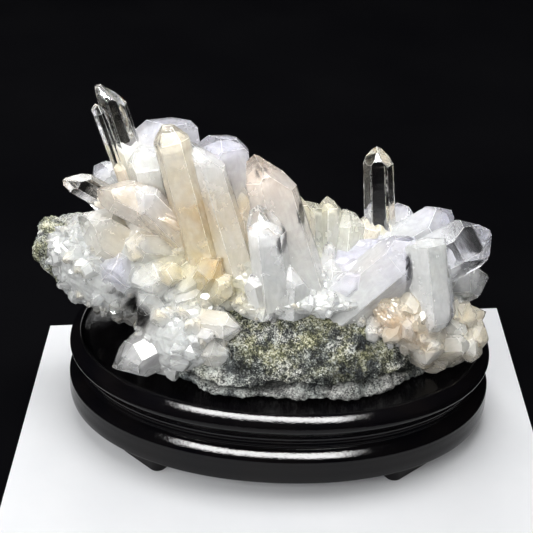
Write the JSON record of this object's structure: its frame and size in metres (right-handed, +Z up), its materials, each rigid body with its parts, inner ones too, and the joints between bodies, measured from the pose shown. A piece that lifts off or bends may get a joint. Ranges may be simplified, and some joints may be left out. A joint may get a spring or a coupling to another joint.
{
  "type": "quartz crystal cluster on a stand",
  "caption": "Spreading cluster of milky and clear quartz crystals on granular matrix rock, resting in the shallow recess of a black lacquered oval wooden stand",
  "frame": {"origin": "centre of the object's box, on the surface that the stand's feet rest on", "axes": "+Z up; +X along the stand's long axis to the right as seen from the front; -Y towards the front, where the rock shows"},
  "size_m": [0.2632, 0.173, 0.1875],
  "materials": {
    "quartz": "glassy crystal faces, clear at the spires and milky below, with warm iron tints",
    "matrix": "rough granular rock, dark grey, grey-green and yellow-green grains with white ones",
    "lacquered_wood": "black gloss lacquer over carved wood"
  },
  "bodies": {
    "root": {"quartz_crystals": "quartz", "matrix_rock": "matrix", "wooden_stand": "lacquered_wood"}
  },
  "joints": []
}
